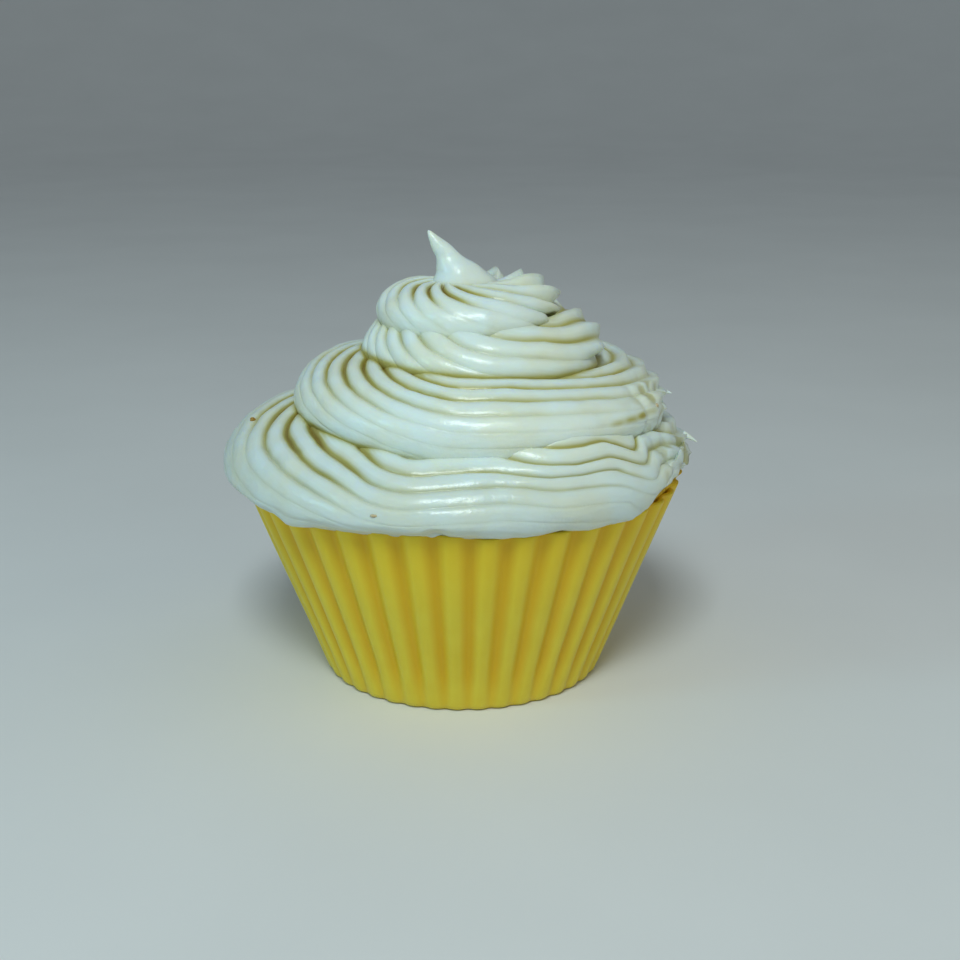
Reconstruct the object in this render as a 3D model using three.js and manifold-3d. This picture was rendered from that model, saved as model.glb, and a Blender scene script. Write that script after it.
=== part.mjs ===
// A cupcake: sponge baked in a fluted silicone case, under a swirl of cream frosting piped with a
// star nozzle. Millimetres, +Z up, the origin at the centre of the case's foot, -Y the front.
import * as THREE from "three";
import { LoftGeometry } from "three/addons/geometries/LoftGeometry.js";
import { mergeVertices } from "three/addons/utils/BufferGeometryUtils.js";
import Module from "manifold-3d";

const wasm = await Module();
wasm.setup();

// The case.
const CASE_HEIGHT = 32.4;
const RIM_RADIUS = 35;
const FOOT_RADIUS = 22.5;
const WALL = 1.1;
const FLOOR = 1.3;
const FLUTES = 40;
const FLUTE_DEPTH = 1;
const POINTS_PER_FLUTE = 5;
const FIRST_FLUTE = THREE.MathUtils.degToRad(-2);
const FOOT_ROUNDING = 0.8;
const LIP_ROUNDING = 0.35;

// The sponge, and the air left between the pieces.
const GAP = 0.3;
const SPONGE_RISE = 2.1;
const DOME_RISE = 5.6;

// The swirl's four tiers, from the lowest up, and the end of the rope. shift moves a tier towards +X,
// tilt raises it and sink thins it on that side, and swell thickens it on the other. twist is the
// ridges' turns round the rope in one turn of the swirl, and spread draws the showing ridges apart.
const TIERS = [
  {
    radius: 37.5, height: 35.4, halfWidth: 12.4, above: 7.3, below: 4.7,
    shift: -0.8, tilt: 0.8, swell: 2.1, sink: 0, twist: 0.85, spread: 0,
  },
  {
    radius: 29.5, height: 45.1, halfWidth: 11.1, above: 7, below: 6.2,
    shift: 2.9, tilt: -0.6, swell: 0, sink: 0.8, twist: 0.6, spread: 0,
  },
  {
    radius: 18.8, height: 52.8, halfWidth: 8.2, above: 5.5, below: 5.4,
    shift: 3.1, tilt: -0.2, swell: 0.2, sink: 0, twist: 0.75, spread: 0.6,
  },
  {
    radius: 14.2, height: 59, halfWidth: 7.8, above: 4.7, below: 5,
    shift: 0.8, tilt: 0, swell: 0, sink: 0, twist: 1.05, spread: 0.8,
  },
  {
    radius: 6.5, height: 60.4, halfWidth: 4.5, above: 3, below: 3.5,
    shift: 0, tilt: 0, swell: 0, sink: 0, twist: 1.2, spread: 0.8,
  },
];
const FIRST_CLIMB = 0.5;
const CLIMB_TURNS = 0.46;
const ROPE_START = -0.8;
const ROPE_END = 3.7;
const START_TAPER = 3.2;
const RINGS_PER_TURN = 32;
const RINGS_PER_PIECE = 12;

// The ridges that the nozzle's teeth leave along the rope.
const RIDGES = 18;
const POINTS_PER_RIDGE = 3;
const GROOVE_DEPTH = 0.95;
const SMOOTHED_BELOW = 0.4;
const FIRST_RIDGE = 0;
const SWAY = 0.3;
const FASTEST_LEFT = THREE.MathUtils.degToRad(80);
const SHOWING_SIDE = THREE.MathUtils.degToRad(50);

// The bare edge of the sponge, on the right of the front.
const BARE_ANGLE = THREE.MathUtils.degToRad(71);
const BARE_HALF_WIDTH = THREE.MathUtils.degToRad(20);
const BARE_HEIGHT = 2.2;

// The peak that the nozzle pulled up and to the left: the height, the centre and the radius.
const PEAK = [
  { height: 61, x: 0.4, radius: 6.2 },
  { height: 63.4, x: 0, radius: 4.6 },
  { height: 64.8, x: -0.7, radius: 3.4 },
  { height: 66.4, x: -1.6, radius: 2.5 },
  { height: 68.2, x: -2.9, radius: 1.8 },
  { height: 69.8, x: -4.2, radius: 1.05 },
  { height: 70.9, x: -5, radius: 0.35 },
];
const PEAK_SIDES = 14;

// Details of a joined solid smaller than this are smoothed away.
const FINEST = 0.02;
const ROUND_SIDES = 80;
const TURN = 2 * Math.PI;
const { lerp, smoothstep } = THREE.MathUtils;

// A point at an angle from the front, counted counterclockwise from above.
function polar(angle, radius, height) {
  return new THREE.Vector3(radius * Math.sin(angle), -radius * Math.cos(angle), height);
}

function ring(count, pointAt) {
  return Array.from({ length: count }, (_, i) => pointAt((i / count) * TURN));
}

// A closed mesh as a solid for cutting and joining, and a solid as a geometry again.
function solidOf(geometry) {
  const bare = new THREE.BufferGeometry().setAttribute("position", geometry.getAttribute("position"));
  bare.setIndex(geometry.index);
  const merged = mergeVertices(bare, 1e-5);
  const vertProperties = merged.attributes.position.array;
  const triVerts = new Uint32Array(merged.index.array);
  return new wasm.Manifold(new wasm.Mesh({ numProp: 3, vertProperties, triVerts }));
}

function geometryOf(solid) {
  const { vertProperties, triVerts } = solid.getMesh();
  const geometry = new THREE.BufferGeometry();
  geometry.setAttribute("position", new THREE.BufferAttribute(vertProperties, 3));
  geometry.setIndex(new THREE.BufferAttribute(triVerts, 1));
  return geometry;
}

function loft(sections) {
  return new LoftGeometry(sections, { capStart: true, capEnd: true });
}

function meshOf(name, geometry, color, roughness) {
  const mesh = new THREE.Mesh(geometry, new THREE.MeshStandardMaterial({ color, roughness, metalness: 0 }));
  mesh.name = name;
  return mesh;
}

// The case: one thin fluted wall from the foot up to the lip and down inside to the floor.
function wallRadius(height) {
  return lerp(FOOT_RADIUS, RIM_RADIUS, height / CASE_HEIGHT);
}

// A flute's depth at an angle: broad rounded ribs with narrower valleys between them.
function flute(angle) {
  const valley = 0.5 - 0.5 * Math.cos(FLUTES * (angle - FIRST_FLUTE));
  return FLUTE_DEPTH * valley ** 1.5;
}

function caseRing(height, inset, depthShare = 1) {
  const count = FLUTES * POINTS_PER_FLUTE;
  const radius = wallRadius(height) - inset;
  return ring(count, (angle) => polar(angle + FIRST_FLUTE, radius - depthShare * flute(angle + FIRST_FLUTE), height));
}

function caseGeometry() {
  const outside = loft([
    caseRing(0, FOOT_ROUNDING, 0.6),
    caseRing(0.3 * FOOT_ROUNDING, 0.25 * FOOT_ROUNDING, 0.9),
    caseRing(FOOT_ROUNDING, 0),
    caseRing(CASE_HEIGHT - LIP_ROUNDING, 0),
    caseRing(CASE_HEIGHT, LIP_ROUNDING),
  ]);
  const inside = loft([
    caseRing(FLOOR, WALL + FOOT_ROUNDING),
    caseRing(FLOOR + FOOT_ROUNDING, WALL),
    caseRing(CASE_HEIGHT - LIP_ROUNDING, WALL),
    caseRing(CASE_HEIGHT + LIP_ROUNDING, WALL - 2 * LIP_ROUNDING),
  ]);
  return geometryOf(solidOf(outside).subtract(solidOf(inside)));
}

// The sponge fills the case, rises over the rim and ends in a low dome.
function spongeRadius(height) {
  return wallRadius(height) - WALL - FLUTE_DEPTH - GAP;
}

function spongeTop() {
  const edge = spongeRadius(CASE_HEIGHT);
  const rim = CASE_HEIGHT;
  return [
    [edge, rim - 0.8],
    [edge + 0.6, rim + 0.5 * SPONGE_RISE],
    [edge - 0.4, rim + SPONGE_RISE],
    [edge - 3.5, rim + 0.62 * DOME_RISE],
    [edge - 14, rim + 0.93 * DOME_RISE],
  ];
}

function spongeGeometry() {
  const profile = [
    [spongeRadius(FLOOR + GAP) - FOOT_ROUNDING, FLOOR + GAP],
    [spongeRadius(FLOOR + FOOT_ROUNDING), FLOOR + FOOT_ROUNDING + GAP],
    ...spongeTop(),
  ];
  const points = [[0, FLOOR + GAP], ...profile, [0, CASE_HEIGHT + DOME_RISE]];
  const outline = points.map(([radius, height]) => new THREE.Vector2(radius, height));
  return new THREE.LatheGeometry(outline, ROUND_SIDES).rotateX(Math.PI / 2);
}

// The sizes of the rope's section after a number of turns, where 0, 1, 2 and 3 are at the front.
function tierAt(turn) {
  const size = { ...TIERS[0] };
  TIERS.slice(1).forEach((next, i) => {
    const begins = FIRST_CLIMB + i - CLIMB_TURNS / 2;
    const share = smoothstep(turn, begins, begins + CLIMB_TURNS);
    for (const key of Object.keys(size)) {
      size[key] += share * (next[key] - TIERS[i][key]);
    }
  });
  const sideways = Math.sin(turn * TURN);
  size.radius += size.shift * sideways - START_TAPER * (1 - smoothstep(turn, ROPE_START, ROPE_START + 0.35));
  size.height += size.tilt * sideways;
  size.above += size.swell * Math.max(0, -sideways) ** 2 - size.sink * Math.max(0, sideways) ** 2;
  return size;
}

// The angle round the rope of its first ridge: it falls as the rope goes on, faster on the left.
function ridgeAngle(turn) {
  const turns = TIERS.reduce((sum, { twist }, i) => {
    const tierStart = i === 0 ? ROPE_START : FIRST_CLIMB + i - 1;
    return sum + twist * THREE.MathUtils.clamp(turn - tierStart, 0, FIRST_CLIMB + i - tierStart);
  }, 0);
  return FIRST_RIDGE - turns * TURN - SWAY * Math.sin(turn * TURN + FASTEST_LEFT);
}

// The lower edge of the frosting lifts off the sponge's bare stretch.
function bareLift(angle) {
  const away = Math.abs(Math.atan2(Math.sin(angle - BARE_ANGLE), Math.cos(angle - BARE_ANGLE)));
  return BARE_HEIGHT * (1 - smoothstep(away, 0.3 * BARE_HALF_WIDTH, BARE_HALF_WIDTH));
}

function ropeSection(turn) {
  const { radius, height, halfWidth, above, below, spread } = tierAt(turn);
  const angle = turn * TURN;
  const centre = radius - halfWidth;
  const innerWidth = Math.min(halfWidth, centre - 0.4);
  const lowest = turn < 0.5 ? below - bareLift(angle) : below;
  const count = RIDGES * POINTS_PER_RIDGE;
  return ring(count, (step) => {
    const even = ridgeAngle(turn) - step;
    const around = even + spread * Math.sin(even - SHOWING_SIDE);
    const out = Math.cos(around);
    const up = Math.sin(around);
    const phase = (step / TURN) * RIDGES;
    const groove = Math.max(0, Math.cos(phase * TURN)) ** 2;
    const depth = GROOVE_DEPTH * groove * lerp(SMOOTHED_BELOW, 1, smoothstep(up, -0.3, 0.7));
    const width = (out > 0 ? halfWidth : innerWidth) - depth;
    const tall = (up > 0 ? above : lowest) - depth;
    return polar(angle, centre + width * out, height + tall * up);
  });
}

// The rope in pieces of part of a turn, so that no piece crosses itself, each one ring into the next.
function ropePieces() {
  const steps = Math.round((ROPE_END - ROPE_START) * RINGS_PER_TURN);
  const pieces = [];
  for (let first = 0; first < steps; first += RINGS_PER_PIECE) {
    const last = Math.min(first + RINGS_PER_PIECE + 1, steps);
    const sections = [];
    for (let i = first; i <= last; i++) {
      sections.push(ropeSection(ROPE_START + i / RINGS_PER_TURN));
    }
    pieces.push(loft(sections));
  }
  return pieces;
}

// The cream inside the spiral, through the middles of the tiers.
function coreGeometry() {
  const points = TIERS.map(({ radius, halfWidth, height }) => new THREE.Vector2(radius - halfWidth, height));
  points.unshift(new THREE.Vector2(0, CASE_HEIGHT), new THREE.Vector2(TIERS[0].radius - 4, CASE_HEIGHT));
  points.push(new THREE.Vector2(0, TIERS.at(-1).height + 2));
  return new THREE.LatheGeometry(points, 40).rotateX(Math.PI / 2);
}

function peakGeometry() {
  return loft(PEAK.map(({ height, x, radius }) =>
    ring(PEAK_SIDES, (angle) => polar(angle, radius, height).add(new THREE.Vector3(x, 0, 0)))));
}

// What the frosting rests on: the case up to its rim and the sponge above it, with the gap round both.
function seatGeometry() {
  const outside = RIM_RADIUS + GAP;
  const lowest = CASE_HEIGHT - 8;
  const top = spongeTop().map(([radius, height]) => new THREE.Vector2(radius + GAP, height + GAP));
  top[0].set(top[1].x, CASE_HEIGHT + GAP);
  return new THREE.LatheGeometry([
    new THREE.Vector2(0, lowest),
    new THREE.Vector2(wallRadius(lowest) + GAP, lowest),
    new THREE.Vector2(outside, CASE_HEIGHT),
    new THREE.Vector2(outside - LIP_ROUNDING, CASE_HEIGHT + GAP),
    ...top,
    new THREE.Vector2(0, CASE_HEIGHT + DOME_RISE + GAP),
  ], ROUND_SIDES).rotateX(Math.PI / 2);
}

function frostingGeometry() {
  const parts = [...ropePieces(), coreGeometry(), peakGeometry()].map(solidOf);
  const swirl = parts.reduce((joined, part) => joined.add(part)).subtract(solidOf(seatGeometry()));
  // The outer skin alone, so that no hollow is left between the turns.
  const skins = swirl.simplify(FINEST).decompose().sort((one, other) => other.volume() - one.volume());
  return geometryOf(skins[0].simplify(FINEST));
}

const cupcake = new THREE.Group();
cupcake.add(meshOf("case", caseGeometry(), 0xc9b02a, 0.5));
cupcake.add(meshOf("sponge", spongeGeometry(), 0xc98d3a, 0.9));
cupcake.add(meshOf("frosting", frostingGeometry(), 0xe9ecdc, 0.4));

export default cupcake;
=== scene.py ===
import math

import bpy
import numpy as np
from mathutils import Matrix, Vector, noise


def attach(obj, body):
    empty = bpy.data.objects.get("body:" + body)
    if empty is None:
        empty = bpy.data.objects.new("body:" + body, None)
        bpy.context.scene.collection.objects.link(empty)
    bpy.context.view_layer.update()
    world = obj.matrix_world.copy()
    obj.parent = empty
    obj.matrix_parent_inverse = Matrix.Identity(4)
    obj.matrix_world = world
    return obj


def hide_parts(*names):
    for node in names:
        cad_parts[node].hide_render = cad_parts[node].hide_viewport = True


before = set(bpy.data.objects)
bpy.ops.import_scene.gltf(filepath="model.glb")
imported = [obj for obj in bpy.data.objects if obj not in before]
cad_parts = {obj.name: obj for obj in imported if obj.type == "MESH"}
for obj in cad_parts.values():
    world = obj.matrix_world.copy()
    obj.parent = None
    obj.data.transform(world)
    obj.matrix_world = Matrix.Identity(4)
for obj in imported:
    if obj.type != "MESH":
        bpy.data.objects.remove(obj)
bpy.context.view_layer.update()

MM = 0.001
# The floor, in metres: where it starts to curve up, and the radius of that curve.
FLOOR_RADIUS = 0.9
FLOOR_BEND = 0.8

# The camera, from a fit of the photo to the case. It looks at a point a little right of the axis.
AIM = Vector((2.85 * MM, 0, 30.6 * MM))
CAMERA_DISTANCE = 250 * MM
CAMERA_ELEVATION = math.radians(16.96)
CAMERA_LENS = 57.6

# The case, as in the solids.
CASE_HEIGHT = 32.4
RIM_RADIUS = 35
FOOT_RADIUS = 22.5
WALL = 1.1
FLOOR = 1.3
FLUTES = 40
FLUTE_DEPTH = 1.0
FIRST_FLUTE = -2
FOOT_ROUNDING = 0.8
LIP_ROUNDING = 0.35
POINTS_PER_FLUTE = 14
# How much higher the soft rim stands on the left of the front.
RIM_RISE = 0.5

# The sponge, as in the solids.
DOME_RISE = 5.6

# The swirl's tiers, as in the solids: the outer radius, the height of the widest line, the section's
# half-width, and how far it reaches above and below that line. Shift and tilt are how much further out
# and higher the right side lies, swell how much taller the left is, and sink how much lower the right.
# Spread is by how many degrees the ridges lie further apart on the inner side.
TIERS = [
    dict(radius=37.5, height=35.4, width=12.4, above=7.3, below=4.7,
         shift=-0.8, tilt=0.8, swell=2.1, sink=0, spread=0),
    dict(radius=29.5, height=45.1, width=11.1, above=7.0, below=6.2,
         shift=2.9, tilt=-0.6, swell=0, sink=0.8, spread=0),
    dict(radius=18.8, height=52.8, width=8.2, above=5.5, below=5.4,
         shift=3.1, tilt=-0.2, swell=0.2, sink=0, spread=43),
    dict(radius=14.2, height=59.0, width=7.8, above=4.7, below=5.0,
         shift=0.8, tilt=0, swell=0, sink=0, spread=43),
    dict(radius=6.5, height=60.4, width=4.5, above=3.0, below=3.5,
         shift=0, tilt=0, swell=0, sink=0, spread=43),
]
# In turns: where the rope climbs to the next tier for the first time, how long a climb is, and where the
# rope starts and ends. Its start is drawn in by the taper.
FIRST_CLIMB = 0.5
CLIMB_TURNS = 0.46
ROPE_START = -0.8
ROPE_END = 3.7
START_TAPER = 3.2
# On the first tier: how much higher its inner side rises on the right, in mm, and by how many degrees
# the ridges are squeezed there.
RIGHT_RISE = 2.2
RIGHT_SQUEEZE = 36
# Places where a tier is thinner: tier, angle round the cupcake and its width, section angle and its
# width, and depth in mm.
THIN_PLACES = [(0, -80, 26, -38, 26, 1.2), (0, -16, 13, -40, 14, 0.35), (1, 37, 20, -22, 22, 1.1)]
# How far the ragged ridges on the right of the upper tiers stand proud of the solids, in mm.
RAGGED_RISE = 1.25
# Where the cream is set back from the rim and the sponge shows: angle, half-width and height.
BARE_ANGLE = 71
BARE_HALF_WIDTH = 20
BARE_HEIGHT = 2.2

# The grooves: where the first one lies round the rope, in degrees, after a number of turns.
RIDGES = 18
GROOVE_PATH = [
    (-0.800, 285), (-0.244, 104), (-0.194, 80), (-0.167, 67), (-0.139, 59), (-0.111, 49), (-0.083, 37),
    (-0.056, 22), (-0.035, 16), (-0.003, 21), (0.022, 22), (0.042, 17), (0.061, 10), (0.092, 4),
    (0.112, -2), (0.126, -13), (0.146, -28), (0.163, -17), (0.180, -18), (0.205, -30), (0.230, -46),
    (0.500, -101), (0.756, -170), (0.833, -197), (0.889, -217), (0.944, -235), (1.000, -248),
    (1.045, -247.5), (1.083, -249), (1.139, -256), (1.194, -267), (1.222, -274),
    (1.500, -345), (1.780, -423), (1.860, -461), (1.930, -490), (1.980, -506), (2.030, -519),
    (2.180, -539), (2.235, -547), (2.500, -630), (2.800, -725), (2.867, -745), (2.917, -765),
    (2.975, -785), (3.060, -805), (3.135, -825), (3.450, -905), (3.700, -990),
]
GROOVE_DEPTH = 1.0
# How square the ridges' tops are: a small power gives a broad top with narrow grooves.
ROUND_RIDGE = 0.6
# The ochre line in a groove, part cream tone and part painted shade, as a share of the ridge beside it.
CREASE_WIDTH = 0.17
# Along the turns, the section angles where the grooves begin to show and where they are full.
GROOVE_FADES = [
    (-0.800, 20, 60), (-0.250, 30, 72), (-0.170, 22, 66), (-0.100, 4, 52), (0.000, 2, 46), (0.120, 6, 50),
    (0.160, -10, 40), (0.210, -50, 0), (0.350, -50, 0), (0.500, 0, 45), (0.800, -5, 62), (0.950, 5, 58),
    (1.100, 22, 60), (1.180, 22, 60), (1.240, -40, 10), (1.350, -40, 10), (1.500, 0, 40), (1.800, -15, 50),
    (2.150, -8, 42), (2.210, -40, 0), (2.350, -40, 0), (2.500, -20, 20), (2.850, -5, 62), (3.000, 8, 75),
    (3.090, 0, 62), (3.150, -40, 10), (3.350, -50, 0), (3.700, -24, 18),
]
# The same for the ochre colour in the grooves, part tone and part painted shade, which is strong only
# near the tier above, where the shade falls, and last how strong it is there.
COLOUR_FADES = [
    (-0.800, 40, 80, 0.7), (-0.250, 40, 78, 0.9), (-0.150, 25, 78, 1.0), (-0.080, 0, 72, 0.6),
    (-0.040, 0, 72, 0.45), (0.040, 0, 70, 0.45), (0.090, 0, 66, 0.65), (0.300, 0, 80, 0.65),
    (0.500, 20, 70, 0.6), (0.800, 10, 85, 0.9), (0.880, 10, 85, 0.9), (0.960, 10, 75, 0.6),
    (1.200, 20, 75, 0.6), (1.500, 0, 60, 0.6), (1.800, 0, 90, 0.6), (2.050, 0, 70, 0.35),
    (2.150, -5, 40, 0.5), (2.500, 0, 60, 0.6), (2.800, 30, 80, 1.0), (2.980, 25, 70, 1.0),
    (3.080, 18, 72, 0.5), (3.200, 10, 75, 0.4), (3.700, 0, 60, 0.6),
]
# How much of its depth a faded groove keeps.
FAINT = 0.12
# Soft patches on the swirl: turns and width, section angle and width, and the share or depth. The grooves
# are smoothed over in the first three, a fold stands out in the next, and the last one is smeared ochre.
FLAT_PLACES = [(3.03, 0.06, 15, 32, 0.75), (0.01, 0.09, 25, 30, 0.35), (1.03, 0.10, 5, 30, 0.5)]
SOFT_FOLD = (3.042, 0.012, 8, 22, 0.3)
OCHRE_SMEAR = (1.155, 0.026, 10, 4.5, 0.65)

# The torn patch on the right of the two lowest tiers, by the angle round the cupcake: how rough it is, and
# the furrow at its front, both in mm.
TORN_ANGLE = 72
TORN_WIDTH = 13
TORN_DEPTH = 0.5
FURROW_ANGLE = 62
FURROW_WIDTH = 1.6
FURROW_DEPTH = 0.6
# The heights between which the cream goes from the painted shade on the lowest tier to its usual tone.
LOW_SHADE_HEIGHTS = (36, 46)

# Where one tier lies on the next: how strong the line of painted shade in ochre is and how much the
# cream is smeared across it, along the lower tier's turns.
CONTACT_SHADE = [
    (-0.80, 0.5), (-0.14, 0.75), (-0.06, 0.5), (-0.02, 0.1), (0.05, 0.05), (0.20, 0.1), (0.50, 0.5),
    (0.80, 0.75), (0.95, 0.6), (1.05, 0.6), (1.15, 0.75), (1.30, 0.75), (1.80, 0.3), (1.95, 0.1),
    (2.30, 0.3), (3.70, 0.3),
]
CONTACT_SMEAR = [
    (-0.80, 0.2), (-0.12, 0.4), (-0.02, 0.9), (0.08, 0.9), (0.13, 0.4), (0.50, 0.2), (0.80, 0.3),
    (1.30, 0.4), (1.80, 0.2), (1.95, 0.6), (2.10, 0.6), (2.20, 0.2), (3.70, 0.2),
]

# How much higher than in the solids the lower edge of the swirl lies, by the angle round the cupcake.
EDGE_LIFT = [
    (-180, 0), (-90, 0.2), (-60, 0), (-48, -0.2), (-43, -1.1), (-38, -0.5), (-34, 0.1), (-11, 0.1),
    (-8, 0.2), (-6, 0.8), (-4.5, 0.7), (-2.5, 0.1), (3, 0), (10, -0.5), (17, -0.7), (24, -0.5), (31, -1.3),
    (38, -1.2), (44, -1.7), (50, -1.1), (55, 0.9), (62, 3.0), (74, 3.6), (84, 2.6), (105, 0.4), (180, 0),
]
# Crumbs on the cream: turns, section angle and how far they stand proud, size, seed and two colours.
BROWN = ((0.30, 0.14, 0.008), (0.46, 0.27, 0.04))
BEIGE = ((0.50, 0.38, 0.20), (0.62, 0.55, 0.36))
CRUMBS = [
    ("crumb_left", (-0.228, 53, -0.1), (0.38, 0.4, 0.34), 31, BROWN),
    ("crumb_right", (1.192, 13, -0.1), (0.5, 0.5, 0.5), 32, BEIGE),
    ("crumb_front", (-0.0515, 8, -0.2), (0.6, 0.3, 0.28), 33, BEIGE),
]
# Threads of cream pulled out on the right: where they start, which way they point, length, thickness.
FLICKS = [
    ("flick_low", (0.25, 18, -0.6), (1, -0.1, -0.25), 2.5, 0.7),
    ("flick_high", (1.25, 9, -0.6), (1, -0.1, 0.15), 1.9, 0.65),
]

# The sponge's browned spots: place and size.
BROWNED_SPOTS = [((32.0, -10.6, 34.0), 0.85), ((30.5, -14.2, 33.4), 0.75)]

# The peak: height, x and half-width of its rings.
PEAK = [
    (60.8, 0.6, 7.6), (62.4, 0.7, 6.3), (63.3, 0.5, 5.2), (64.2, 0.15, 4.3), (64.8, -0.2, 3.75),
    (65.5, -0.6, 3.35), (66.1, -1.0, 2.9), (66.7, -1.6, 2.35), (67.3, -2.15, 1.98), (67.9, -2.65, 1.8),
    (68.6, -3.15, 1.6), (69.2, -3.6, 1.35), (69.8, -4.1, 1.03), (70.4, -4.6, 0.7), (70.9, -4.95, 0.36),
    (71.1, -5.1, 0.12),
]

# The steps between the rope's rings of points, in mm, within this angle of the front and beyond it.
FRONT_HALF = 118
FINE_STEP = 0.40
COARSE_STEP = 0.95

# How far a part of the rope is drawn in where it hides in the next part, and over how many turns.
TUCK_DEPTH = 0.25
TUCK_TURNS = 0.03

# The cream's two tones, the light and the deep ochre in its grooves, which are part tone and part painted
# shade, and the painted shade low on the swirl.
WARM_CREAM = (0.76, 0.81, 0.68)
COOL_CREAM = (0.74, 0.85, 0.82)
LIGHT_OCHRE_SHADE = (0.46, 0.43, 0.13)
DEEP_OCHRE_SHADE = (0.27, 0.19, 0.02)
LOW_SHADE = (0.10, 0.17, 0.17)
# The silicone's two tones, and the painted shade, warmer near the rim under the cream and deeper between
# the ribs.
DULL_YELLOW = (0.73, 0.575, 0.034)
BRIGHT_YELLOW = (0.76, 0.62, 0.046)
RIM_SHADE_YELLOW = (0.86, 0.60, 0.010)
VALLEY_SHADE_YELLOW = (0.74, 0.43, 0.001)
# The sponge's two tones and its browned spots.
DARK_GOLD = (0.66, 0.38, 0.006)
LIGHT_GOLD = (0.86, 0.60, 0.03)
BAKED_BROWN = (0.14, 0.035, 0.001)
# The floor's two tones.
DARK_FLOOR = (0.72, 0.72, 0.71)
LIGHT_FLOOR = (0.75, 0.75, 0.74)

# The lights: place and size in metres, power in watts, and colour. They point at LIT_POINT.
LIGHTS = [
    ("key", (-0.04, -0.46, 0.55), 0.18, 2.6, (0.84, 0.97, 1.0)),
    ("side", (-0.52, -0.24, 0.24), 0.14, 0.5, (0.42, 0.86, 1.0)),
    ("fill", (0.50, -0.30, 0.30), 0.5, 0.4, (1.0, 0.96, 0.65)),
]
LIT_POINT = Vector((0, 0, 0.035))
STUDIO_COLOUR = (0.82, 0.93, 1.0)
STUDIO_STRENGTH = 0.24


def smooth_step(value, low, high):
    share = np.clip((value - low) / (high - low), 0, 1)
    return share * share * (3 - 2 * share)


def mix(low, high, share):
    return low + (high - low) * share


def bump(value, centre, width):
    return np.exp(-(((value - centre) / width) ** 2))


def sine(degrees):
    return np.sin(np.radians(degrees))


def cosine(degrees):
    return np.cos(np.radians(degrees))


def wrapped(degrees):
    return (degrees + 180) % 360 - 180


def curve_through(points, at, column=1):
    """A smooth curve through points that has no swings between them."""
    table = np.array(points, float)
    x, y = table[:, 0], table[:, column]
    steps = np.diff(x)
    slopes = np.diff(y) / steps
    products = slopes[1:] * slopes[:-1]
    sums = np.where(products > 0, slopes[1:] + slopes[:-1], 1)
    middle = np.where(products > 0, 2 * products / sums, 0)
    tangents = np.concatenate([slopes[:1], middle, slopes[-1:]])
    i = np.clip(np.searchsorted(x, at) - 1, 0, len(steps) - 1)
    s = (at - x[i]) / steps[i]
    rise = steps[i] * s * (1 - s) * (tangents[i] * (1 - s) - tangents[i + 1] * s)
    return mix(y[i], y[i + 1], s * s * (3 - 2 * s)) + rise


def lumps(points, size, seed):
    """Smooth noise from -1 to 1 at points of an (..., 3) array, with lumps of about a size."""
    offset = Vector((seed * 7.3, seed * 3.1, seed * 5.7))
    flat = np.reshape(points, (-1, 3)) / size
    values = [noise.noise(Vector(point) + offset) for point in flat]
    return np.reshape(values, np.shape(points)[:-1])


def polar(angle, radius, height):
    """Points at an angle round the cupcake, a radius and a height."""
    return np.stack([radius * sine(angle), -radius * cosine(angle), height + 0 * angle], axis=-1)


def grid_faces(rings, sides):
    """Quads between rings of points, with the order of each ring counterclockwise from outside."""
    ring, side = np.meshgrid(np.arange(rings - 1), np.arange(sides), indexing="ij")
    after = (side + 1) % sides
    lower = ring * sides
    upper = lower + sides
    corners = [lower + side, lower + after, upper + after, upper + side]
    return np.stack(corners, axis=-1).reshape(-1, 4)


def mesh_piece(name, vertices, faces, attributes):
    """A smooth-shaded object from places in mm, with values at its points for its material."""
    mesh = bpy.data.meshes.new(name)
    mesh.from_pydata((vertices * MM).tolist(), [], faces)
    mesh.polygons.foreach_set("use_smooth", [True] * len(faces))
    for key, values in attributes.items():
        layer = mesh.attributes.new(key, "FLOAT", "POINT")
        layer.data.foreach_set("value", values.astype(np.float32))
    piece = bpy.data.objects.new(name, mesh)
    bpy.context.scene.collection.objects.link(piece)
    return piece


def tube(name, points, attributes=None):
    """A closed piece through rings of points, (rings, sides, 3) in mm, with a middle point at each end."""
    rings, sides = points.shape[:2]
    ends = np.stack([points[0].mean(axis=0), points[-1].mean(axis=0)])
    vertices = np.concatenate([points.reshape(-1, 3), ends])
    side = np.arange(sides)
    after = (side + 1) % sides
    last = (rings - 1) * sides
    first_fan = np.stack([after, side, np.full(sides, rings * sides)], axis=-1)
    last_fan = np.stack([last + side, last + after, np.full(sides, rings * sides + 1)], axis=-1)
    faces = grid_faces(rings, sides).tolist() + first_fan.tolist() + last_fan.tolist()
    values = {key: np.append(value.ravel(), [0, 0]) for key, value in (attributes or {}).items()}
    return mesh_piece(name, vertices, faces, values)


def surface(name, points):
    """An open piece through rings of points in mm."""
    rings, sides = points.shape[:2]
    return mesh_piece(name, points.reshape(-1, 3), grid_faces(rings, sides).tolist(), {})


# The swirl

def tier_at(turns):
    """The rope's section after a number of turns, as in the solids."""
    size = {key: np.full_like(turns, value) for key, value in TIERS[0].items()}
    for i, tier in enumerate(TIERS[1:]):
        begins = FIRST_CLIMB + i - CLIMB_TURNS / 2
        share = smooth_step(turns, begins, begins + CLIMB_TURNS)
        for key in size:
            size[key] += share * (tier[key] - TIERS[i][key])
    sideways = sine(360 * turns)
    taper = START_TAPER * (1 - smooth_step(turns, ROPE_START, ROPE_START + 0.35))
    size["radius"] += size["shift"] * sideways - taper
    size["height"] += size["tilt"] * sideways
    taller = size["swell"] * np.maximum(0, -sideways) ** 2
    lower = size["sink"] * np.maximum(0, sideways) ** 2
    size["above"] += taller - lower
    away = np.abs(wrapped(360 * turns - BARE_ANGLE))
    lift = BARE_HEIGHT * (1 - smooth_step(away, 0.3 * BARE_HALF_WIDTH, BARE_HALF_WIDTH))
    size["below"] -= np.where(turns < 0.5, lift, 0)
    return size


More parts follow.
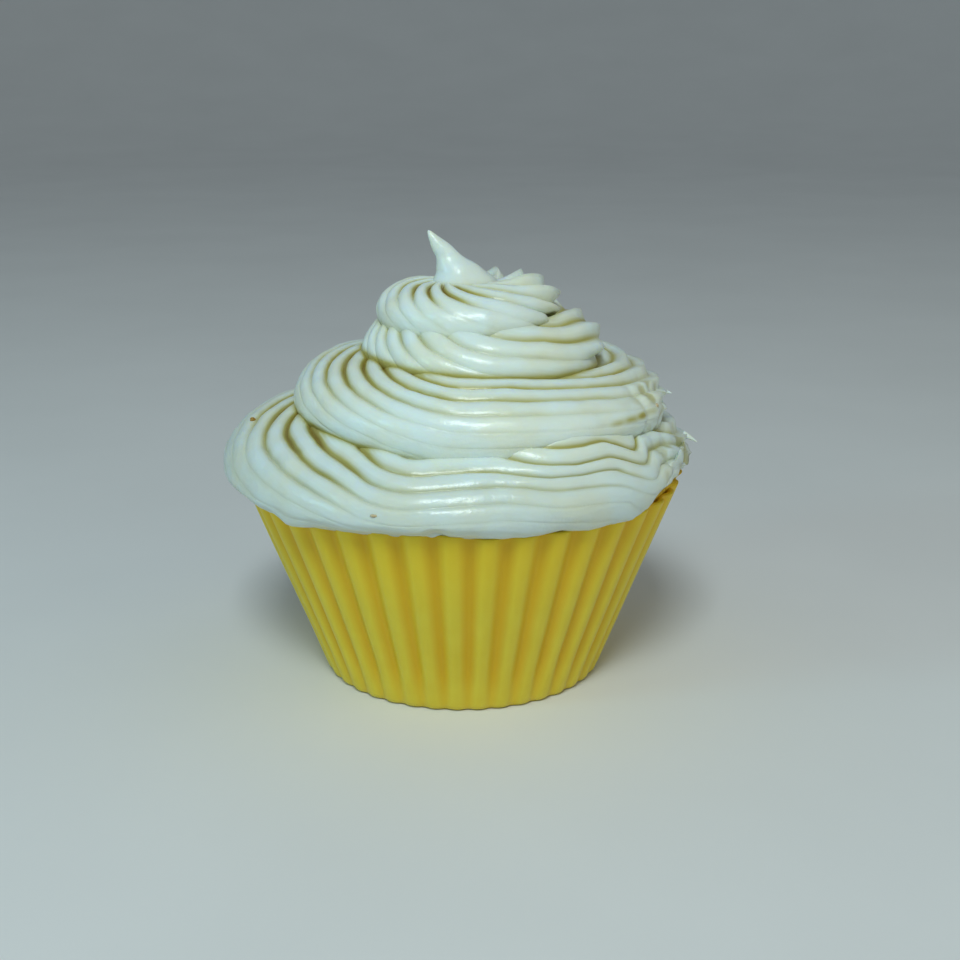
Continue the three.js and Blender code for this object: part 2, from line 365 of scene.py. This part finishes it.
def gap_to(turns, radius, height):
    """How far points are outside the rope as it is after a number of turns, ignoring its ridges.

    Before the rope's start and after its end there is nothing near."""
    size = tier_at(turns)
    centre = size["radius"] - size["width"]
    out = radius - centre
    up = height - size["height"]
    width = np.where(out > 0, size["width"], np.minimum(size["width"], centre - 0.4))
    tall = np.where(up > 0, size["above"], size["below"])
    share = np.hypot(out / width, up / tall)
    gap = (share - 1) * share / np.maximum(np.hypot(out / width**2, up / tall**2), 1e-6)
    return np.where((turns > ROPE_START) & (turns < ROPE_END), gap, 99)


def ring_turns(first, last):
    """The turns at which the rope has rings: close together in front, wider apart where it is hidden."""
    turns = [first]
    while turns[-1] < last:
        radius = tier_at(np.array([turns[-1]]))["radius"][0]
        fine = abs(wrapped(360 * turns[-1])) < FRONT_HALF and turns[-1] > -0.5
        step = FINE_STEP if fine else COARSE_STEP
        turns.append(turns[-1] + step / (2 * math.pi * max(radius, 8)))
    return np.array(turns[:-1] + [last])


def ridge_phases():
    """Places across all the ridges, closer together near the grooves."""
    across = np.array([0, 0.04, 0.10, 0.20, 0.34, 0.5, 0.66, 0.80, 0.90, 0.96])
    return (np.arange(RIDGES)[:, None] + across[None, :]).ravel()


def faded(table, turns, facing):
    """From 0 to 1 with the section angle, between the two angles in a table of turns.

    The underside next to the inner side, below -150 degrees, counts as inner."""
    share = smooth_step(facing, curve_through(table, turns), curve_through(table, turns, 2))
    return np.where(facing > -150, share, 1)


def patch(turns, facing, turn, turn_width, section, section_width, share):
    """A soft patch on the swirl round a number of turns and a section angle, as strong as its share."""
    return share * bump(turns, turn, turn_width) * bump(facing, section, section_width)


def rope_at(turns):
    """The rope after a number of turns: its section's sizes and what changes along its turns."""
    rope = tier_at(turns)
    angle = wrapped(360 * turns)
    lowest_tier = turns < 0.5
    rope["turns"] = turns
    rope["angle"] = angle
    rope["centre"] = rope["radius"] - rope["width"]
    # The section's inner side stops short of the cupcake's axis.
    rope["inner"] = np.minimum(rope["width"], rope["centre"] - 0.4)
    rope["edge_lift"] = np.where(lowest_tier, np.interp(angle, *np.array(EDGE_LIFT).T), 0)
    # How far under the rope the lower edge is lifted, as a section angle.
    rope["edge_ends"] = mix(42, 49, smooth_step(angle, -40, -28) * (1 - smooth_step(angle, -2, 20)))
    rope["right_rise"] = np.where(lowest_tier, RIGHT_RISE * bump(angle, 36, 18), 0)
    rope["squeeze"] = np.where(lowest_tier, RIGHT_SQUEEZE * bump(angle, 32, 22), 0)
    rope["ragged"] = smooth_step(angle, 52, 84) * (1 - smooth_step(angle, 145, 170))
    return rope


def on_rope(rope, around, depth):
    """The radius and height of points at section angles, at a depth in the rope's plain section."""
    out, up = cosine(around), sine(around)
    width = np.where(out > 0, rope["width"], rope["inner"])
    tall = np.where(up > 0, rope["above"], rope["below"])
    for tier, thin_angle, angle_width, section, section_width, cut in THIN_PLACES:
        on_tier = np.abs(rope["turns"] - tier) < 0.5
        thinner = np.where(on_tier, cut * bump(rope["angle"], thin_angle, angle_width), 0)
        depth = depth + thinner * bump(around, section, section_width)
    slope = np.hypot(out / width, up / tall)
    radius = rope["centre"] + width * out - depth * out / width / slope
    height = rope["height"] + tall * up - depth * up / tall / slope
    ends = rope["edge_ends"]
    under_edge = smooth_step(-around, 0, 22) * (1 - smooth_step(-around, ends - 13, ends))
    height = height + rope["edge_lift"] * under_edge + rope["right_rise"] * smooth_step(around, 30, 65)
    return radius, height


def ridge_angles(rope, phases):
    """The section angles of places across the ridges. They are even at first, then wander a little, lie
    further apart on the upper tiers' inner side and are squeezed on the right of the lowest tier."""
    even = curve_through(GROOVE_PATH, rope["turns"]) + phases * 360 / RIDGES
    plain = polar(rope["angle"], *on_rope(rope, wrapped(even), 0))
    even = even + 1.8 * lumps(plain, 9, 1) + 0.6 * lumps(plain, 2.5, 2)
    squeezed = rope["squeeze"] * np.maximum(0, sine(even - 35))
    return wrapped(even + rope["spread"] * sine(even - 50) - squeezed)


def ridge_relief(rope, facing, across, uneven):
    """How deep the cream lies across the ridges. They are round, but pointed and standing out on the
    ragged right, most on the two upper tiers and not at all on the lowest."""
    strength = mix(FAINT, 1, faded(GROOVE_FADES, rope["turns"], facing)) * uneven
    for flat_place in FLAT_PLACES:
        strength = strength * (1 - patch(rope["turns"], facing, *flat_place))
    radius, ragged = rope["radius"], rope["ragged"]
    rounded = 1 - np.sin(math.pi * across) ** ROUND_RIDGE
    nearest = np.minimum(across, 1 - across)
    pointed = (2.2 - 1.05 * smooth_step(radius, 14, 20)) * (1 - (2 * nearest) ** 1.2)
    depth = GROOVE_DEPTH * strength * mix(rounded, pointed, ragged)
    proud = RAGGED_RISE * ragged * mix(1, 0.65, smooth_step(radius, 22, 28))
    proud = proud * (1 - smooth_step(radius, 31, 35))
    return depth - proud * smooth_step(facing, -15, 20) * (1 - smooth_step(facing, 60, 100))


def groove_ochre_and_shade(rope, facing, across, uneven):
    """How ochre the cream is in the grooves, part its tone and part painted shade, from 0 to about 1."""
    strength = curve_through(COLOUR_FADES, rope["turns"], 3)
    share = mix(0.10, 1, faded(COLOUR_FADES, rope["turns"], facing)) * strength
    width = CREASE_WIDTH * (1 - 0.4 * rope["squeeze"] / RIGHT_SQUEEZE)
    return bump(np.minimum(across, 1 - across), 0, width) * share * uneven


def with_lumps(depth, rope, facing, across, plain):
    """The relief with fine streaks along the outer side, soft lumps and the fold."""
    soft_side = 1 - smooth_step(facing, 30, 65)
    streaks = np.sin(2 * math.pi * (3 * across + 1.5 * lumps(plain, 12, 6)))
    nearest = np.minimum(across, 1 - across)
    depth = depth + 0.04 * streaks * soft_side * (1 - bump(nearest, 0, 0.15))
    depth = depth + 0.2 * lumps(plain, 5, 4) + 0.06 * lumps(plain, 1.6, 5)
    return depth - patch(rope["turns"], facing, *SOFT_FOLD)


def with_tear(depth, ochre_and_shade, rope, facing, plain):
    """The relief and the ochre with the torn patch and the furrow at its front, and painted shade in its
    hollows.
    """
    torn = bump(rope["angle"], TORN_ANGLE, TORN_WIDTH) * smooth_step(rope["radius"], 24, 30)
    torn = torn * (1 - smooth_step(facing, 35, 60))
    rough = lumps(plain * np.array([1, 1, 0.6]), 2.2, 9)
    furrow = bump(rope["angle"], FURROW_ANGLE, FURROW_WIDTH)
    depth = depth + TORN_DEPTH * torn * rough + FURROW_DEPTH * torn * furrow
    # Painted shade in the hollows of the torn patch.
    return depth, np.maximum(ochre_and_shade, 0.4 * torn * smooth_step(rough, 0.05, 0.45))


def with_contacts(depth, ochre_and_shade, turns, radius, height, uneven):
    """The relief and the ochre with the smeared line of painted shade where the tiers above and below
    touch.
    """
    above_gap = gap_to(turns + 1, radius, height)
    below_gap = gap_to(turns - 1, radius, height)
    for gap, lower in ((above_gap, turns), (below_gap, turns - 1)):
        lower = np.clip(lower, ROPE_START, ROPE_END)
        # Painted shade, in ochre, along the line where the tiers touch.
        contact_shade = bump(np.maximum(gap, 0), 0, 0.75) * np.interp(lower, *np.array(CONTACT_SHADE).T)
        ochre_and_shade = np.maximum(ochre_and_shade, contact_shade * uneven)
        depth = depth - np.interp(lower, *np.array(CONTACT_SMEAR).T) * np.exp(-np.maximum(gap, 0) / 1.1)
    return depth, ochre_and_shade


def rope_piece(name, first, last, tucked_first, tucked_last):
    """Part of the rope. A tucked end is drawn in a little, so that it hides in the next part."""
    turns = ring_turns(first, last)[:, None]
    phases = ridge_phases()[None, :]
    across = phases % 1
    rope = rope_at(turns)
    facing = ridge_angles(rope, phases)
    radius, height = on_rope(rope, facing, 0)
    plain = polar(rope["angle"], radius, height)
    uneven = 1 + 0.3 * lumps(plain, 6, 3)

    depth = ridge_relief(rope, facing, across, uneven)
    depth = with_lumps(depth, rope, facing, across, plain)
    # Ochre in the grooves, part the cream's tone and part painted shade.
    ochre_and_shade = groove_ochre_and_shade(rope, facing, across, uneven)
    depth, ochre_and_shade = with_tear(depth, ochre_and_shade, rope, facing, plain)
    depth, ochre_and_shade = with_contacts(depth, ochre_and_shade, turns, radius, height, uneven)
    smear = patch(turns, facing, *OCHRE_SMEAR) * (1 + 0.6 * lumps(plain, 1.5, 10))
    ochre_and_shade = np.maximum(ochre_and_shade, smear)
    if tucked_first:
        depth = depth + TUCK_DEPTH * (1 - smooth_step(turns, first, first + TUCK_TURNS))
    if tucked_last:
        depth = depth + TUCK_DEPTH * smooth_step(turns, last - TUCK_TURNS, last)
    points = polar(rope["angle"], *on_rope(rope, facing, depth))
    # Painted shade on the lowest tier, fading out above it.
    low = 1 - smooth_step(points[..., 2], *LOW_SHADE_HEIGHTS)
    return tube(name, points, {"ochre_and_shade": ochre_and_shade, "low": low})


def peak_piece():
    """The pulled-up end of the cream, bent to the left, with soft folds down its front and back."""
    heights = np.array(PEAK)[:, 0]
    stem = np.linspace(heights[0], heights[-3], 70)
    tip = np.linspace(heights[-3], heights[-1], 8)
    path = np.concatenate([stem, tip[1:]])
    x = curve_through([(h, x) for h, x, _ in PEAK], path)[:, None]
    radius = curve_through([(h, r) for h, _, r in PEAK], path)[:, None]
    path = path[:, None]
    around = np.linspace(0, 360, 96, endpoint=False)[None, :]
    fold = 0.05 * bump(wrapped(around - 62 - 5 * (path - 64)), 0, 22)
    back_fold = 0.10 * bump(wrapped(around - 205 + 6 * (path - 64)), 0, 22)
    folded = radius * (1 + (fold + back_fold) * smooth_step(path, 62, 64.5))
    depth = mix(1, 0.85, smooth_step(path, 62, 66))
    sideways = x + folded * sine(around)
    points = np.stack([sideways, -depth * folded * cosine(around), path + 0 * around], axis=-1)
    points[..., 0] += 0.12 * lumps(points, 2.6, 7)
    points[..., 1] += 0.16 * lumps(points, 2.6, 8)
    # Painted shade round the foot of the peak, where it rises out of the tier below.
    foot = 0.35 * bump(path, 63.0, 0.5) + 0 * around
    return tube("peak", points, {"ochre_and_shade": foot})


# The case and the sponge

def wall_radius(height):
    return mix(FOOT_RADIUS, RIM_RADIUS, height / CASE_HEIGHT)


def flute(angle):
    """How deep the wall lies between its ribs: 0 on a rib, 1 in a valley."""
    return (0.5 - 0.5 * cosine(FLUTES * (angle - FIRST_FLUTE))) ** 1.5


def case_piece():
    """The fluted silicone cup, as one skin from the foot up over the lip and down to the floor.

    A row of points has a height, how far it lies inside the wall's outside, and its share of the flutes."""
    foot = [(0, 2.6, 0.3), (0, 1.2, 0.5), (0.08, 0.6, 0.7), (0.3, 0.2, 0.9), (0.8, 0, 1)]
    outside = [(height, 0, 1) for height in np.linspace(1.5, CASE_HEIGHT - LIP_ROUNDING, 36)]
    lip_points = [(0.1, 0.1), (0, 0.35), (0, 0.75), (0.1, 1.0)]
    lip = [(CASE_HEIGHT - drop, inset, 1) for drop, inset in lip_points]
    inner_heights = np.linspace(CASE_HEIGHT - LIP_ROUNDING, FLOOR + FOOT_ROUNDING, 12)
    inside = [(height, WALL, 1) for height in inner_heights]
    floor = [(FLOOR, WALL + FOOT_ROUNDING, 1), (FLOOR, 12, 0)]
    rows = [(0, 12, 0)] + foot + outside + lip + inside + floor
    angles = wrapped(FIRST_FLUTE + np.linspace(0, 360, FLUTES * POINTS_PER_FLUTE, endpoint=False))
    height, inset, share = (column[:, None] for column in np.array(rows, float).T)
    # The flutes are shallower near the foot.
    share = share * mix(0.45, 1, smooth_step(height, 0, 9))
    valley = flute(angles)[None, :]
    radius = wall_radius(height) - inset - FLUTE_DEPTH * share * valley
    points = polar(angles[None, :], radius, height + 0 * valley)
    radius = radius - 0.12 * lumps(points, 14, 11) * smooth_step(height, 2, 8)
    # The rim stands a little higher on the left of the front.
    raised = smooth_step(angles, -34, -24) * (1 - smooth_step(angles, -1, 4))
    lift = RIM_RISE * raised * smooth_step(height, 20, CASE_HEIGHT)
    points = polar(angles[None, :], radius, height + lift)
    # The share of a flute valley and the height, for the painted shade between the ribs and near the rim.
    values = {"valley": valley * share + 0 * radius, "upper": height / CASE_HEIGHT + 0 * radius}
    return tube("fluted_case", points, values)


def sponge_piece():
    """The baked sponge, which fills the flutes and shows as a crumbly edge over the rim.

    The profile has a height, a radius and the share of the flutes."""
    inset = WALL + 0.15
    profile = [
        (FLOOR + 0.2, 6, 0), (FLOOR + 0.2, wall_radius(FLOOR) - 3, 0),
        (FLOOR + 2, wall_radius(FLOOR + 2) - inset, 1),
        (CASE_HEIGHT - 5, wall_radius(CASE_HEIGHT - 5) - inset, 1),
        (CASE_HEIGHT - 0.4, RIM_RADIUS - inset - 0.1, 1),
        (CASE_HEIGHT + 0.7, RIM_RADIUS - 1.5, 0.6), (CASE_HEIGHT + 1.7, RIM_RADIUS - 2.6, 0.2),
        (CASE_HEIGHT + 2.6, RIM_RADIUS - 4.6, 0), (CASE_HEIGHT + 0.62 * DOME_RISE, RIM_RADIUS - 7, 0),
        (CASE_HEIGHT + 0.93 * DOME_RISE, RIM_RADIUS - 17, 0), (CASE_HEIGHT + DOME_RISE, 3, 0),
    ]
    table = np.array(profile)
    lengths = np.concatenate([[0], np.cumsum(np.hypot(*np.diff(table[:, :2], axis=0).T))])
    places = np.concatenate([lengths[:3], np.linspace(lengths[3], lengths[8], 34), lengths[9:]])
    height, radius, share = (np.interp(places, lengths, column)[:, None] for column in table.T)
    angles = np.linspace(0, 360, 840, endpoint=False)[None, :]
    radius = radius - FLUTE_DEPTH * share * flute(angles)
    points = polar(angles, radius, height + 0 * radius)
    crumb = 0.3 * lumps(points, 1.8, 21) + 0.16 * lumps(points, 0.7, 22)
    crumb = crumb * smooth_step(height, CASE_HEIGHT - 0.8, CASE_HEIGHT + 0.4)
    # It swells out on the right, where it shows.
    bulge = 1.9 * bump(angles, 76, 22) * smooth_step(height, CASE_HEIGHT, CASE_HEIGHT + 0.6)
    points = polar(angles, radius + crumb + bulge, height + 0.7 * crumb + 0.5 * bulge)
    baked = np.zeros(points.shape[:2])
    for place, size in BROWNED_SPOTS:
        baked += bump(np.linalg.norm(points - place, axis=-1), 0, size)
    baked = np.minimum(baked * (1 + 0.5 * lumps(points, 0.8, 23)), 1)
    return tube("baked_sponge", points, {"baked": baked})


def on_swirl(turn, around, proud):
    """A place on the swirl after a number of turns at a section angle, a little proud of it, in mm."""
    size = {key: value[0] for key, value in tier_at(np.array([float(turn)])).items()}
    radius = size["radius"] - size["width"] + (size["width"] + proud) * cosine(around)
    height = size["height"] + (size["above"] + proud) * sine(around)
    return np.array([radius * sine(360 * turn), -radius * cosine(360 * turn), height])


def crumb_piece(name, place, size, seed):
    """A small irregular crumb at a place in mm, half sunk in the cream."""
    sides, rings = 14, 9
    around = np.linspace(0, 360, sides, endpoint=False)[None, :]
    rise = np.linspace(-80, 80, rings)[:, None]
    ball = polar(around, cosine(rise), sine(rise))
    ball = ball * (1 + 0.5 * lumps(ball, 0.9, seed))[..., None]
    return tube(name, np.array(place) + ball * np.array(size))


def flick_piece(name, place, direction, length, thickness):
    """A thin pulled-out thread of cream, from a place in mm, drooping a little."""
    along = np.linspace(0, 1, 16)[:, None]
    around = np.linspace(0, 360, 12, endpoint=False)[None, :]
    direction = np.array(direction) / np.linalg.norm(direction)
    side = np.cross(direction, (0, 0, 1))
    side = side / np.linalg.norm(side)
    top = np.cross(side, direction)
    middle = np.array(place) + direction * (length * along) - np.array((0, 0, 0.25 * length)) * along**2
    radius = thickness * np.sqrt(1 - along) * (1 - 0.55 * along) + 0.02
    ring = radius[..., None] * (side * cosine(around)[..., None] + top * sine(around)[..., None])
    points = middle[:, None, :] + ring
    return tube(name, points, {"ochre_and_shade": np.zeros(points.shape[:2])})


# Materials

def node_material(name):
    """A new material, its nodes and links, and its shader."""
    material = bpy.data.materials.new(name)
    material.use_nodes = True
    nodes = material.node_tree.nodes
    return material, nodes, material.node_tree.links, nodes["Principled BSDF"]


def colour_mix(nodes, links, share, low, high):
    """A colour between two colours or sockets, by a share socket."""
    mixer = nodes.new("ShaderNodeMix")
    mixer.data_type = "RGBA"
    links.new(share, mixer.inputs["Factor"])
    for socket, value in ((mixer.inputs[6], low), (mixer.inputs[7], high)):
        if isinstance(value, tuple):
            socket.default_value = (*value, 1)
        else:
            links.new(value, socket)
    return mixer.outputs[2]


def attribute(nodes, name):
    """A value that the mesh holds at its points."""
    node = nodes.new("ShaderNodeAttribute")
    node.attribute_name = name
    return node.outputs["Fac"]


def noise_value(nodes, links, size, detail=3):
    """Noise with lumps of a size in mm."""
    place = nodes.new("ShaderNodeTexCoord")
    texture = nodes.new("ShaderNodeTexNoise")
    texture.inputs["Scale"].default_value = 1 / (size * MM)
    texture.inputs["Detail"].default_value = detail
    links.new(place.outputs["Object"], texture.inputs["Vector"])
    return texture.outputs["Fac"]


def ranged(nodes, links, value, low, high, to_low=0.0, to_high=1.0):
    """A value brought from one range to another."""
    node = nodes.new("ShaderNodeMapRange")
    for socket, number in zip(("From Min", "From Max", "To Min", "To Max"), (low, high, to_low, to_high)):
        node.inputs[socket].default_value = number
    links.new(value, node.inputs["Value"])
    return node.outputs["Result"]


def add_bump(nodes, links, shader, value, distance):
    """Fine relief from a value, as deep as a distance in mm."""
    node = nodes.new("ShaderNodeBump")
    node.inputs["Distance"].default_value = distance * MM
    links.new(value, node.inputs["Height"])
    links.new(node.outputs["Normal"], shader.inputs["Normal"])


def frosting_material():
    """Glossy cream in soft patches of two tones, ochre and painted shade in its grooves, painted shade low
    on the swirl.
    """
    material, nodes, links, shader = node_material("cream_frosting")
    patches = ranged(nodes, links, noise_value(nodes, links, 8), 0.38, 0.62)
    cream = colour_mix(nodes, links, patches, WARM_CREAM, COOL_CREAM)
    # The ochre value holds the grooves' tone, part of it painted shade, and the painted shade where the
    # tiers touch.
    ochre_and_shade = attribute(nodes, "ochre_and_shade")
    tinted = colour_mix(nodes, links, ranged(nodes, links, ochre_and_shade, 0, 0.5), cream, LIGHT_OCHRE_SHADE)
    grooved = colour_mix(nodes, links, ranged(nodes, links, ochre_and_shade, 0.45, 1), tinted, DEEP_OCHRE_SHADE)
    # Painted shade low on the swirl.
    low_shade_share = ranged(nodes, links, attribute(nodes, "low"), 0, 1, 0, 0.16)
    final = colour_mix(nodes, links, low_shade_share, grooved, LOW_SHADE)
    links.new(final, shader.inputs["Base Color"])
    shader.inputs["Roughness"].default_value = 0.30
    shader.inputs["Subsurface Weight"].default_value = 0.3
    shader.inputs["Subsurface Radius"].default_value = (1.0, 0.8, 0.35)
    shader.inputs["Subsurface Scale"].default_value = 0.7 * MM
    add_bump(nodes, links, shader, noise_value(nodes, links, 0.6, 4), 0.05)
    return material


def silicone_material():
    """Satin silicone with a slight mottle and painted shade, warmer near the rim under the cream and deeper
    between the ribs.
    """
    material, nodes, links, shader = node_material("yellow_silicone")
    mottle = ranged(nodes, links, noise_value(nodes, links, 5), 0.3, 0.7)
    yellow = colour_mix(nodes, links, mottle, DULL_YELLOW, BRIGHT_YELLOW)
    # Painted shade near the rim, under the cream.
    upper = ranged(nodes, links, attribute(nodes, "upper"), 0.55, 0.95, 0, 0.7)
    yellow = colour_mix(nodes, links, upper, yellow, RIM_SHADE_YELLOW)
    # Painted shade in the valleys between the ribs.
    valley_shade = ranged(nodes, links, attribute(nodes, "valley"), 0.1, 0.9, 0, 0.8)
    final = colour_mix(nodes, links, valley_shade, yellow, VALLEY_SHADE_YELLOW)
    links.new(final, shader.inputs["Base Color"])
    shader.inputs["Roughness"].default_value = 0.45
    shader.inputs["Specular IOR Level"].default_value = 0.35
    shader.inputs["Subsurface Weight"].default_value = 0.15
    shader.inputs["Subsurface Radius"].default_value = (1.0, 0.7, 0.1)
    shader.inputs["Subsurface Scale"].default_value = 1.0 * MM
    add_bump(nodes, links, shader, noise_value(nodes, links, 0.35, 4), 0.03)
    return material


def sponge_material():
    """Golden crumb with pores, browned where the mesh says so."""
    material, nodes, links, shader = node_material("baked_sponge")
    pores = ranged(nodes, links, noise_value(nodes, links, 1.2, 5), 0.35, 0.7)
    golden = colour_mix(nodes, links, pores, DARK_GOLD, LIGHT_GOLD)
    browned = colour_mix(nodes, links, attribute(nodes, "baked"), golden, BAKED_BROWN)
    links.new(browned, shader.inputs["Base Color"])
    shader.inputs["Roughness"].default_value = 0.75
    add_bump(nodes, links, shader, noise_value(nodes, links, 0.6, 5), 0.25)
    return material


def crumb_material(name, dark, light):
    """A crumb that is mottled between two colours."""
    material, nodes, links, shader = node_material(name)
    shade = ranged(nodes, links, noise_value(nodes, links, 0.4, 4), 0.3, 0.7)
    links.new(colour_mix(nodes, links, shade, dark, light), shader.inputs["Base Color"])
    shader.inputs["Roughness"].default_value = 0.6
    add_bump(nodes, links, shader, noise_value(nodes, links, 0.25, 4), 0.08)
    return material


def floor_material():
    material, nodes, links, shader = node_material("pale_floor")
    shade = ranged(nodes, links, noise_value(nodes, links, 60), 0.3, 0.7)
    links.new(colour_mix(nodes, links, shade, DARK_FLOOR, LIGHT_FLOOR), shader.inputs["Base Color"])
    shader.inputs["Roughness"].default_value = 0.7
    return material


# The scene

def add_camera():
    camera = bpy.data.objects.new("camera", bpy.data.cameras.new("camera"))
    bpy.context.scene.collection.objects.link(camera)
    bpy.context.scene.camera = camera
    camera.data.lens = CAMERA_LENS
    camera.data.sensor_width = 36
    camera.data.clip_start = 0.01
    back = Vector((0, -math.cos(CAMERA_ELEVATION), math.sin(CAMERA_ELEVATION)))
    camera.location = AIM + CAMERA_DISTANCE * back
    camera.rotation_euler = (math.pi / 2 - CAMERA_ELEVATION, 0, 0)


def add_light(name, place, size, power, colour):
    light = bpy.data.lights.new(name, "AREA")
    light.size = size
    light.energy = power
    light.color = colour
    lamp = bpy.data.objects.new(name, light)
    bpy.context.scene.collection.objects.link(lamp)
    lamp.location = place
    lamp.rotation_euler = (LIT_POINT - Vector(place)).to_track_quat("-Z", "Y").to_euler()


def add_surroundings():
    for light in LIGHTS:
        add_light(*light)
    world = bpy.data.worlds.new("studio")
    bpy.context.scene.world = world
    world.use_nodes = True
    background = world.node_tree.nodes["Background"]
    background.inputs["Color"].default_value = (*STUDIO_COLOUR, 1)
    background.inputs["Strength"].default_value = STUDIO_STRENGTH
    bpy.context.scene.view_settings.view_transform = "Standard"


def add_floor():
    """A round pale floor that curves up far away, so that it fills the view from every side."""
    bend = np.linspace(0, 90, 16)
    radius = np.concatenate([[0.02, 0.3, 0.6], FLOOR_RADIUS + FLOOR_BEND * sine(bend)])[:, None]
    height = np.concatenate([[0, 0, 0], FLOOR_BEND * (1 - cosine(bend))])[:, None]
    points = polar(np.linspace(0, 360, 96, endpoint=False)[None, :], radius, height)
    floor = surface("floor", points / MM)
    floor.data.materials.append(floor_material())


def dress(piece, material):
    """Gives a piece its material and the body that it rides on."""
    piece.data.materials.append(material)
    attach(piece, "root")


add_camera()
add_surroundings()
add_floor()

frosting = frosting_material()
swirl = [
    rope_piece("swirl_foot", ROPE_START, 0.52, False, True),
    rope_piece("swirl_second", 0.5, 1.52, True, True),
    rope_piece("swirl_third", 1.5, 2.52, True, True),
    rope_piece("swirl_top", 2.5, ROPE_END, True, False),
    peak_piece(),
]
for piece in swirl:
    dress(piece, frosting)
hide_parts("frosting")

case = case_piece()
dress(case, silicone_material())
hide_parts("case")

sponge = sponge_piece()
dress(sponge, sponge_material())
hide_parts("sponge")

for name, place, size, seed, colours in CRUMBS:
    piece = crumb_piece(name, on_swirl(*place), size, seed)
    dress(piece, crumb_material(name, *colours))
for name, place, direction, length, thickness in FLICKS:
    piece = flick_piece(name, on_swirl(*place), direction, length, thickness)
    dress(piece, frosting)
